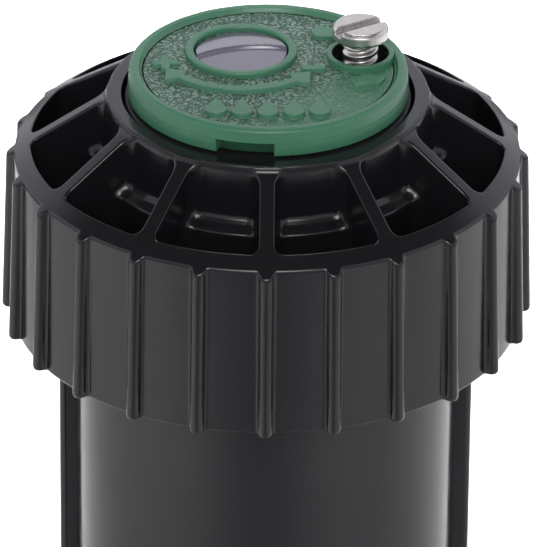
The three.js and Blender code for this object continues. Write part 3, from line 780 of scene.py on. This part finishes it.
def flat_with_holes(outer, holes, z):
    """A flat face at height z, facing up, inside one loop and outside the others."""
    points, edges = [], []
    for loop in [outer, *holes]:
        start = len(points)
        points.extend(Vector(p) for p in loop)
        edges.extend((start + i, start + (i + 1) % len(loop)) for i in range(len(loop)))
    found = delaunay_2d_cdt(points, edges, [], 1, 1e-5)
    middles = np.array([np.mean([found[0][i] for i in face], axis=0) for face in found[2]])
    kept = distance_to(np.array(outer), middles[:, 0], middles[:, 1]) < 0
    for hole in holes:
        kept &= distance_to(np.array(hole), middles[:, 0], middles[:, 1]) > 0
    faces = []
    for face in (face for face, inside in zip(found[2], kept) if inside):
        a, b, c = (found[0][i] for i in face)
        faces.append(list(face) if (b - a).cross(c - a) > 0 else list(face)[::-1])
    return [(p.x, p.y, z) for p in found[0]], faces


def raised_mark(outline):
    """A raised shape on the disc: a flared foot, a steep side and a rounded upper edge."""
    outline = anticlockwise(outline)
    before = outline - np.roll(outline, 1, axis=0)
    after = np.roll(outline, -1, axis=0) - outline
    before /= np.linalg.norm(before, axis=1)[:, None]
    after /= np.linalg.norm(after, axis=1)[:, None]
    outward = np.stack((before[:, 1] + after[:, 1], -before[:, 0] - after[:, 0]), axis=1)
    outward /= np.maximum((outward**2).sum(axis=1) / 2, 0.5)[:, None]
    rows = [
        (0.16, DISC_TOP - 0.05),
        (0.08, DISC_TOP + 0.05),
        (0.03, DISC_TOP + 0.15),
        (0.0, MARK_TOP - 0.12),
        (-0.03, MARK_TOP - 0.04),
        (-0.08, MARK_TOP),
    ]
    vertices = []
    for offset, z in rows:
        vertices.extend((x, y, z) for x, y in outline + outward * offset)
    faces = row_quads(len(rows), len(outline))
    lid, lid_faces = flat_with_holes((outline + outward * rows[-1][0]).tolist(), [], MARK_TOP)
    start = len(vertices)
    vertices.extend(lid)
    faces.extend([start + i for i in face] for face in lid_faces)
    return vertices, faces


def polar(centre, radius, azimuth):
    angle = math.radians(azimuth)
    return (centre[0] + radius * math.cos(angle), centre[1] + radius * math.sin(angle))


def arc(centre, radius, start, end, steps=24):
    return [polar(centre, radius, start + (end - start) * k / steps) for k in range(steps + 1)]


def arrow_bar():
    """The curved bar below the window, with a head at each end."""
    inner, outer = 9.5, 10.7
    left, right = 222, 314
    right_head = [(12.0, right), (10.15, right + 12.5), (8.5, right - 1)]
    left_head = [(8.7, left), (10.4, left - 12.5), (12.3, left)]
    corners = [(*p, 0) for p in arc(WINDOW, outer, left + 3, right - 4)]
    corners += [(*polar(WINDOW, radius, azimuth), 0.2) for radius, azimuth in right_head]
    corners += [(*p, 0) for p in arc(WINDOW, inner, right - 4, left + 3)]
    corners += [(*polar(WINDOW, radius, azimuth), 0.2) for radius, azimuth in left_head]
    return rounded(corners, 3)


def drop(centre, size):
    body = [(*polar(centre, size, 160 + 220 * k / 16), 0) for k in range(17)]
    return rounded([*body, (centre[0], centre[1] + 2.3 * size, 0.15)], 3)


def minus_sign(centre, half_width, half_height):
    low, high = np.array(centre) - (half_width, half_height), np.array(centre) + (half_width, half_height)
    return upright(low[0], high[0], low[1], high[1], (0.2,) * 4, 3)


def plus_sign(centre, reach, half, turn):
    c, s = math.cos(math.radians(turn)), math.sin(math.radians(turn))
    corners = []
    for k in range(4):
        for x, y in ((half, half), (half, reach), (-half, reach)):
            for _ in range(k):
                x, y = -y, x
            corners.append((centre[0] + x * c - y * s, centre[1] + x * s + y * c, 0.15))
    return rounded(corners, 3)


def marks():
    """The raised marks: bar, plus, minus, two arrows beside the screw, and a row of drops."""
    open_arrow = [(5.1, 9.2), (6.3, 11.1), (7, 10.4), (9.6, 9.7), (9.4, 7.7), (6.9, 7.9), (5.7, 8)]
    close_arrow = [(9.8, -3), (10.5, -5.2), (12.7, -4.1), (13.2, -4.7), (14.2, -2.4), (12, -1.9)]
    outlines = [
        arrow_bar(),
        plus_sign((-12.45, 0.8), 1.6, 0.55, 4),
        minus_sign((5.45, -0.15), 1.47, 0.5),
        rounded([(x, y, 0.2) for x, y in open_arrow], 3),
        rounded([(x, y, 0.2) for x, y in close_arrow], 3),
    ]
    outlines += [drop((3.1 * place, -11.6 + 0.1 * place**2), 1.3) for place in (-2, -1, 0, 1, 2)]
    return [raised_mark(outline) for outline in outlines]


def ring_wall(centre, inner, outer, low, high, edge, sides=96):
    corners = [(inner, low, 0), (outer + 0.15, low, 0), (outer, high, edge), (inner, high, edge)]
    return turned(rounded(corners), sides, centre)


FLANGE_FOOT = TOP_LOW[2] + 3
SLOT_AZIMUTH = 260.7
SLOT_WIDTH = 7.1


def flange():
    """The rim and side of the turret cap, with the slot in its lower edge; the disc is open here."""
    middle, half = math.radians(SLOT_AZIMUTH), SLOT_WIDTH / 2 / FLANGE_RADIUS
    foot, step = FLANGE_FOOT, FLANGE_FOOT + 1.77  # the step is where the rim overhangs the side
    outer, inner = FLANGE_RADIUS, DISC_RADIUS - 0.3
    upper = rounded([
        (outer - 0.01, step - 0.02, 0),
        (outer - 0.07, step + 0.04, 0),
        (outer - 0.16, RIM_TOP - 0.36, 0.4),
        (outer - 0.5, RIM_TOP, 0.4),
        (DISC_RADIUS + 0.3, RIM_TOP, 0.3),
        (DISC_RADIUS, DISC_TOP, 0.2),
        (inner, DISC_TOP, 0),
        (inner, foot + 2.05, 0),
        (outer - 0.6, foot + 1.5, 0),
    ])
    plain = [
        (outer, step),
        (outer, foot + 1.2),
        (outer, foot + 0.25),
        (outer - 0.04, foot + 0.1),
        (outer - 0.2, foot),
        (inner, foot),
        (inner, foot + 2.3),
    ]
    cut = [
        (outer, step),
        (outer - 0.02, step - 0.02),
        (outer - 0.1, step - 0.03),
        (15.9, step - 0.03),
        (15.75, step - 0.1),
        (15.7, foot),
        (inner, foot),
    ]
    sides = 360
    left, right, hair = middle - half, middle + half, 1e-5
    columns = [(left, plain), (left + hair, cut), (right - hair, cut), (right, plain)]
    for k in range(sides):
        angle = TURN * k / sides
        columns.append((angle, cut if abs(angle - middle) < half else plain))
    columns.sort(key=lambda column: column[0])
    count = len(plain)
    vertices, faces = [], []
    for angle, profile in columns:
        vertices.extend((r * math.cos(angle), r * math.sin(angle), z) for r, z in profile)
    for i in range(len(columns)):
        j = (i + 1) % len(columns)
        for k in range(count - 1):
            faces.append([i * count + k, i * count + k + 1, j * count + k + 1, j * count + k])
    return [(vertices, faces), turned(upper, 256)]


def turret_cap():
    well_hole, window_hole = circle(SCREW, 3.75, 64), circle(WINDOW, 6.3, 96)
    well = ring_wall(SCREW, WELL_BORE, 4.05, FLANGE_FOOT, DISC_TOP + 0.9, 0.16, 64)
    window = ring_wall(WINDOW, WINDOW_BORE - 0.05, 6.75, DISC_TOP - 1.5, DISC_TOP + 0.7, 0.22)
    window_floor = turned(upright(0, 6.2, DISC_TOP - 1.6, DISC_TOP - 1.4), 64, WINDOW)
    disc = flat_with_holes(circle((0, 0), DISC_RADIUS + 0.1, 256), [window_hole, well_hole], DISC_TOP)
    points, faces = flat_with_holes(circle((0, 0), DISC_RADIUS, 128), [well_hole], FLANGE_FOOT + 0.1)
    underside = (points, [face[::-1] for face in faces])
    post = upright(0, 1.5, TOP_LOW[2], TOP_LOW[2] + 3.5, (0, 0.4, 0, 0))
    posts = [turned(post, 24, polar((0, 0), 11, azimuth)) for azimuth in (60, 190, 290)]
    return joined([well, window, window_floor, disc, underside, *posts, *flange(), *marks()])


PEBBLE = 0.16  # height of the disc's grain
GREEN_DARK = (0.05, 0.175, 0.097)
GREEN_LIGHT = (0.071, 0.235, 0.134)
GAP_SHADE_GREEN = (0.025, 0.095, 0.056)  # painted shade between the grains
CREST_HIGHLIGHT_GREEN = (0.19, 0.3, 0.24)  # painted highlight on the grains
# painted shade down the screw's well
WELL_SHADE_GREEN = (0.004, 0.012, 0.007)


def green_plastic():
    """Satin green, pebbled on the disc only and worn smoother on one side, with painted highlight and shade on
    the grains, and painted shade down the screw's well.
    """
    nodes = Nodes("green_plastic")
    place = nodes.place()
    parts = nodes.add("ShaderNodeSeparateXYZ")
    nodes.link(place, parts, "Vector")

    def from_axis(centre):
        x = nodes.math("POWER", nodes.math("SUBTRACT", parts.outputs["X"], centre[0] * MM), 2)
        y = nodes.math("POWER", nodes.math("SUBTRACT", parts.outputs["Y"], centre[1] * MM), 2)
        return nodes.math("POWER", nodes.math("ADD", x, y), 0.5)

    low_edge, high_edge = (DISC_TOP + 0.02) * MM, (DISC_TOP + 0.1) * MM
    low = nodes.remap(parts.outputs["Z"], low_edge, high_edge, 1, 0, smooth=True)
    inner = nodes.math("LESS_THAN", from_axis((0, 0)), (DISC_RADIUS - 0.05) * MM)
    on_disc = nodes.math("MULTIPLY", low, inner)
    to_worn_side = nodes.math("ADD", parts.outputs["X"], nodes.math("MULTIPLY", parts.outputs["Y"], -0.8))
    rough_side = nodes.remap(to_worn_side, 6 * MM, 14 * MM, 1, 0.25, smooth=True)
    worms = nodes.noise(1450, 1.5, 0.5, distortion=0.4)
    from_middle = nodes.math("ABSOLUTE", nodes.math("SUBTRACT", worms, 0.5))
    ridge = nodes.remap(from_middle, 0, 0.1, 0, 1, smooth=True)
    pebble = nodes.math("MULTIPLY", nodes.math("MULTIPLY", ridge, on_disc), rough_side)
    fine = nodes.bump(nodes.noise(4000, 2), 0.005 * MM)
    normal = nodes.bump(pebble, PEBBLE * MM, normal=fine)
    plain = nodes.mix(nodes.noise(160, 3), GREEN_DARK, GREEN_LIGHT)
    # painted highlight on the grains' crests and painted shade between them, mixed by the pebble's height
    grain_highlight_and_shade = nodes.mix(ridge, GAP_SHADE_GREEN, CREST_HIGHLIGHT_GREEN)
    tint = nodes.mix(nodes.math("MULTIPLY", on_disc, rough_side), plain, grain_highlight_and_shade)
    bore = WELL_BORE * MM
    # painted shade inside the screw's well
    well_shade = nodes.remap(from_axis(SCREW), bore + 0.02 * MM, bore + 0.1 * MM, 1, 0, smooth=True)
    gloss = nodes.remap(nodes.noise(500, 4), 0.3, 0.7, 0.26, 0.4)
    return nodes.finish(nodes.mix(well_shade, tint, WELL_SHADE_GREEN), gloss, normal)


GREEN = green_plastic()
dress(mesh_piece("turret_top", *turret_cap()), GREEN, "green_plastic", "turret", "turret_cap")


# ---- Arc cover ----


def arc_cover():
    """The rubber plug: a flat front flap, and behind its curved edge a back flap that rises and falls away."""
    radius = WINDOW_BORE - 0.2
    low, high = COVER_LOW[2], COVER_HIGH[2]
    edge_x = [-5.6, -5.0, -2.4, 0.07, 2.55, 4.05, 5.6]
    edge_y = [-2.35, -1.76, -0.22, 0.6, 0.92, 0.77, 0.35]
    bend = np.polyfit(edge_x, edge_y, 4)  # the line where the two flaps meet
    slit, slope = 0.6, 0.11  # how deep the back flap starts, and how steeply it falls away

    def height(x, y):
        behind = y - np.polyval(bend, x)
        front = high - 0.3 + 0.05 * np.exp(-((behind + 0.18) / 0.14) ** 2)
        rise = np.clip(behind / 0.55, 0, 1)
        back = high - slit + slit * rise * rise * (3 - 2 * rise) - slope * np.maximum(behind - 0.7, 0)
        z = np.where(behind < 0, front, back)
        rim = np.clip((np.hypot(x, y) / radius - 0.965) / 0.035, 0, 1)
        return z - 0.25 * rim * rim

    rings, sides = 110, 240
    radii = radius * np.linspace(0, 1, rings + 1)[1:]
    angles = TURN * np.arange(sides) / sides
    x = np.concatenate([[0], np.outer(radii, np.cos(angles)).ravel(), radius * np.cos(angles)])
    y = np.concatenate([[0], np.outer(radii, np.sin(angles)).ravel(), radius * np.sin(angles)])
    z = height(x, y)
    z[-sides:] = low
    vertices = np.stack((WINDOW[0] + x, WINDOW[1] + y, z), axis=1)
    faces = [[0, 1 + k, 1 + (k + 1) % sides] for k in range(sides)]
    for i in range(rings):
        start = 1 + i * sides
        for k in range(sides):
            after = (k + 1) % sides
            faces.append([start + k, start + sides + k, start + sides + after, start + after])
    faces.append([1 + rings * sides + k for k in range(sides)][::-1])
    return vertices, faces


VIOLET = rubber("violet_rubber", (0.13, 0.12, 0.165), 0.2, Coat_Weight=0.8, Coat_Roughness=0.08)
plug = mesh_piece("arc_cover_plug", *arc_cover())
dress(plug, VIOLET, "violet_rubber", "turret", "arc_cover")


# ---- Radius screw ----


SCREW_SLOT = 32  # azimuth of the slot
HEAD_HEIGHT = 1.75


def screw_head():
    """The cheese head, with rounded edges and a straight slot; the net's grid is turned to the slot."""
    low, high = SCREW_HIGH[2] - HEAD_HEIGHT, SCREW_HIGH[2]
    radius = (SCREW_HIGH[0] - SCREW_LOW[0]) / 2 + 0.02
    right_side = [
        (radius - 0.25, low, 0.1),
        (radius, low + 0.3, 0.3),
        (radius, high - 0.42, 0.3),
        (radius - 0.36, high, 0.3),
    ]
    left_side = [(-x, z, corner) for x, z, corner in right_side[::-1]]
    section = rounded([left_side[-1], *right_side, *left_side[:-1]], 5)
    c, s = math.cos(math.radians(SCREW_SLOT)), math.sin(math.radians(SCREW_SLOT))
    half_width, depth = 0.7, 0.75

    def field(points):
        x, y, z = points[:, 0] - SCREW[0], points[:, 1] - SCREW[1], points[:, 2]
        head = distance_to(section, np.hypot(x, y), z)
        across = -x * s + y * c
        slot = round_and(np.abs(across) - half_width, high - depth - z, 0.12)
        return soft_max(head, -slot, 0.14)

    step = 0.13
    xs = np.arange(-radius - 0.2, radius + 0.2, step)
    zs = np.arange(low - 0.2, high + 0.25, step)
    along, side = np.meshgrid(xs, xs, indexing="ij")
    grid = np.empty((len(xs), len(xs), len(zs), 3))
    grid[..., 0] = (SCREW[0] + along * c - side * s)[:, :, None]
    grid[..., 1] = (SCREW[1] + along * s + side * c)[:, :, None]
    grid[..., 2] = zs[None, None, :]
    return surface_net(field, grid)


def screw_shank():
    """The threaded shank, as a radius that rises and falls with the thread."""
    low, high = SCREW_LOW[2], SCREW_HIGH[2] - 1.7
    pitch, root, crest, neck = 1.3, 1.66, 2.15, 1.75
    sides, rows = 48, round((high - low) / 0.08)
    vertices = []
    for row in range(rows + 1):
        z = low + (high - low) * row / rows
        for k in range(sides):
            phase = ((z - low) / pitch - k / sides) % 1
            ridge = 0.5 + 0.5 * math.cos(TURN * phase)
            radius = root + (crest - root) * min(1, 1.5 * ridge**1.1)
            radius = min(radius, 1.0 + (z - low))  # the pointed end
            if z > high - 1.0:
                radius = min(radius, neck)
            angle = TURN * k / sides
            vertices.append((SCREW[0] + radius * math.cos(angle), SCREW[1] + radius * math.sin(angle), z))
    return vertices, row_quads(rows + 1, sides) + end_faces(rows + 1, sides)


SCREW_STEEL = metal("screw_steel", (0.64, 0.62, 0.59), 0.3, (60, 700, 300))
head = mesh_piece("radius_screw_head", *screw_head())
dress(head, SCREW_STEEL, "steel", "radius_screw", "radius_screw")
dress(mesh_piece("radius_screw_shank", *screw_shank()), SCREW_STEEL, "steel", "radius_screw")


# ---- Springs ----


spring = mesh_piece("retraction_spring_coil", *coil(17.3, 0.9, SPRING_LOW[2], SPRING_HIGH[2], 7, 60))
dress(spring, STEEL, "steel", "seal_carrier", "retraction_spring")
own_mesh(spring)

bypass = mesh_piece("bypass_spring_coil", *coil(1.75, 0.22, BYPASS_LOW[2], BYPASS_HIGH[2], 7, 24, 8))
dress(bypass, STEEL, "steel", "riser", "bypass_spring")
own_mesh(bypass)


# ---- Carried-over CAD nodes ----

FINISH = {
    "black_plastic": BLACK,
    "inner_plastic": INNER,
    "acetal": ACETAL,
    "nozzle_plastic": NOZZLE_GREY,
    "steel": STEEL,
}
CAD_BEVEL = 0.12
slots = {part["node"]: part["material_slot"] for part in frame["record"]["subparts"]}
for name, node in frame["nodes"].items():
    if node.hide_render:
        continue
    node.data.materials.clear()
    node.data.materials.append(FINISH[slots[name]])
    node.data.shade_smooth()
    node.data.set_sharp_from_angle(angle=math.radians(35))
    bevel = node.modifiers.new("bevel", "BEVEL")
    bevel.width = CAD_BEVEL * MM
    bevel.segments = 2
    bevel.limit_method = "ANGLE"
    bevel.angle_limit = math.radians(40)
    weighted = node.modifiers.new("weighted", "WEIGHTED_NORMAL")
    weighted.keep_sharp = True


# ---- Stage ----

ROOF = 0.08  # strength of the tent's roof; its walls add up to 0.9


def floor():
    nodes = Nodes("floor")
    tint = nodes.mix(nodes.noise(3, 2), (0.72, 0.72, 0.72), (0.75, 0.75, 0.75))
    half = 6000
    corners = [(-half, -half, 0), (half, -half, 0), (half, half, 0), (-half, half, 0)]
    piece = mesh_piece("floor", corners, [[0, 1, 2, 3]])
    piece.data.materials.append(nodes.finish(tint, Roughness=0.9))


def area_light(name, place, target, size, radiance, spread):
    """A flat soft light; its radiance does not change with its size."""
    light = bpy.data.lights.new(name, "AREA")
    light.shape = "RECTANGLE"
    light.size, light.size_y = size
    light.energy = radiance * math.pi * size[0] * size[1]
    light.spread = math.radians(spread)
    lamp = bpy.data.objects.new(name, light)
    lamp.location = place
    lamp.rotation_euler = (Vector(target) - Vector(place)).to_track_quat("-Z", "Y").to_euler()
    bpy.context.scene.collection.objects.link(lamp)


def studio():
    """A light tent: white walls at the sides and the back, and a dark roof and front."""
    nodes = Nodes("studio", bpy.data.worlds, "Background")
    parts = nodes.add("ShaderNodeSeparateXYZ")
    nodes.link(nodes.add("ShaderNodeTexCoord").outputs["Generated"], parts, "Vector")
    sides = nodes.remap(parts.outputs["Y"], -0.85, 0.1, 0.6, 0.9, smooth=True)
    height = nodes.remap(parts.outputs["Z"], 0.5, 0.75, 1.0, 0.0, smooth=True)
    walls = nodes.math("MULTIPLY", sides, height)
    nodes.link(nodes.math("ADD", walls, ROOF), nodes.shader, "Strength")
    nodes.shader.inputs["Color"].default_value = (0.97, 0.97, 1.06, 1)
    bpy.context.scene.world = nodes.owner


LAMP = 0.7  # height of the lamps over the floor
LIGHTS = (  # name, place, target, size, radiance, spread
    ("left_floor_light", (-0.46, -0.04, LAMP), (-0.46, -0.04, 0), (0.36, 0.26), 2.2, 50),
    ("right_floor_light", (0.5, 0.12, LAMP), (0.5, 0.12, 0), (0.36, 0.4), 2.6, 50),
    ("front_left_floor_light", (-0.26, -0.25, LAMP), (-0.26, -0.25, 0), (0.16, 0.16), 3.0, 40),
    ("front_right_floor_light", (0.24, -0.26, LAMP), (0.24, -0.26, 0), (0.16, 0.16), 3.0, 40),
    ("front_box", (0, -0.62, 0.62), (0, 0, 0.17), (0.6, 0.3), 0.55, 50),
    ("back_floor_light", (0, 0.36, LAMP), (0, 0.36, 0), (0.24, 0.4), 6.0, 50),
)

floor()
studio()
for light in LIGHTS:
    area_light(*light)
bpy.context.scene.view_settings.view_transform = "Standard"

# ---- Camera ----

DISTANCE = 0.9
LENS = 484.4
ELEVATION = math.radians(28.9)
ROLL = math.radians(0.5)
AIM = Vector((0, 0, (COLLAR_TOP - 25.08) * MM))

camera = bpy.data.cameras.new("camera")
camera.lens = LENS
camera.sensor_width = 36
camera.clip_start = 0.01
eye = bpy.data.objects.new("camera", camera)
eye.location = AIM + Vector((0, -math.cos(ELEVATION), math.sin(ELEVATION))) * DISTANCE
tilt = Matrix.Rotation(math.pi / 2 - ELEVATION, 3, "X")
eye.rotation_euler = (tilt @ Matrix.Rotation(ROLL, 3, "Z")).to_euler()
bpy.context.scene.collection.objects.link(eye)
bpy.context.scene.camera = eye
